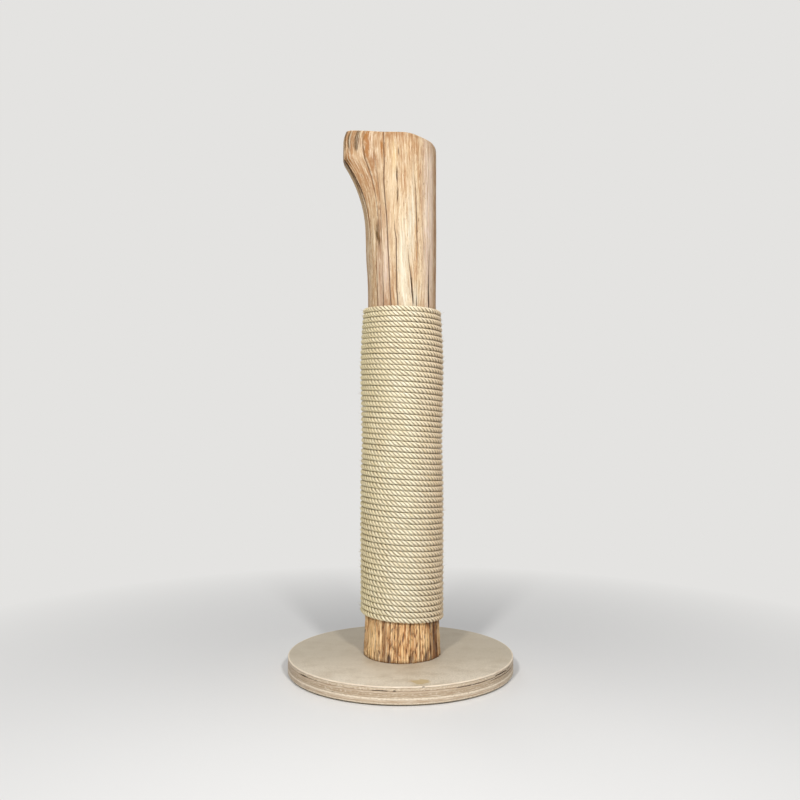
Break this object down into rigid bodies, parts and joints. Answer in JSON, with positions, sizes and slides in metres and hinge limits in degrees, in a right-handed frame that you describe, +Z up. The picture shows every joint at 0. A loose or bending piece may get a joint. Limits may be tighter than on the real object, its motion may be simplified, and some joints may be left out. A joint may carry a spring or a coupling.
{
  "type": "cat scratching post",
  "caption": "Peeled natural log with a sawn branch stub, wound with sisal rope and screwed upright to a round plywood base plate for cats to scratch.",
  "frame": {"origin": "on the floor, under the middle of the base plate", "axes": "+Z up along the log; -Y towards the front, where the picture was taken; the branch stub points to -X"},
  "size_m": [0.3999, 0.4, 0.9509],
  "materials": {
    "plywood": "sanded birch plywood, plies at the rim",
    "peeled_log": "peeled and oiled hardwood with drying cracks",
    "sisal": "natural three-strand sisal rope",
    "zinc_steel": "zinc-plated",
    "staple_wire": "galvanised wire",
    "felt": "pressed felt"
  },
  "bodies": {
    "root": {"base_plate": "plywood", "trunk": "peeled_log", "sisal_rope_lower": "sisal", "sisal_rope_middle": "sisal", "sisal_rope_upper": "sisal", "trunk_screws": "zinc_steel", "rope_staples": "staple_wire", "felt_pads": "felt"}
  },
  "joints": []
}
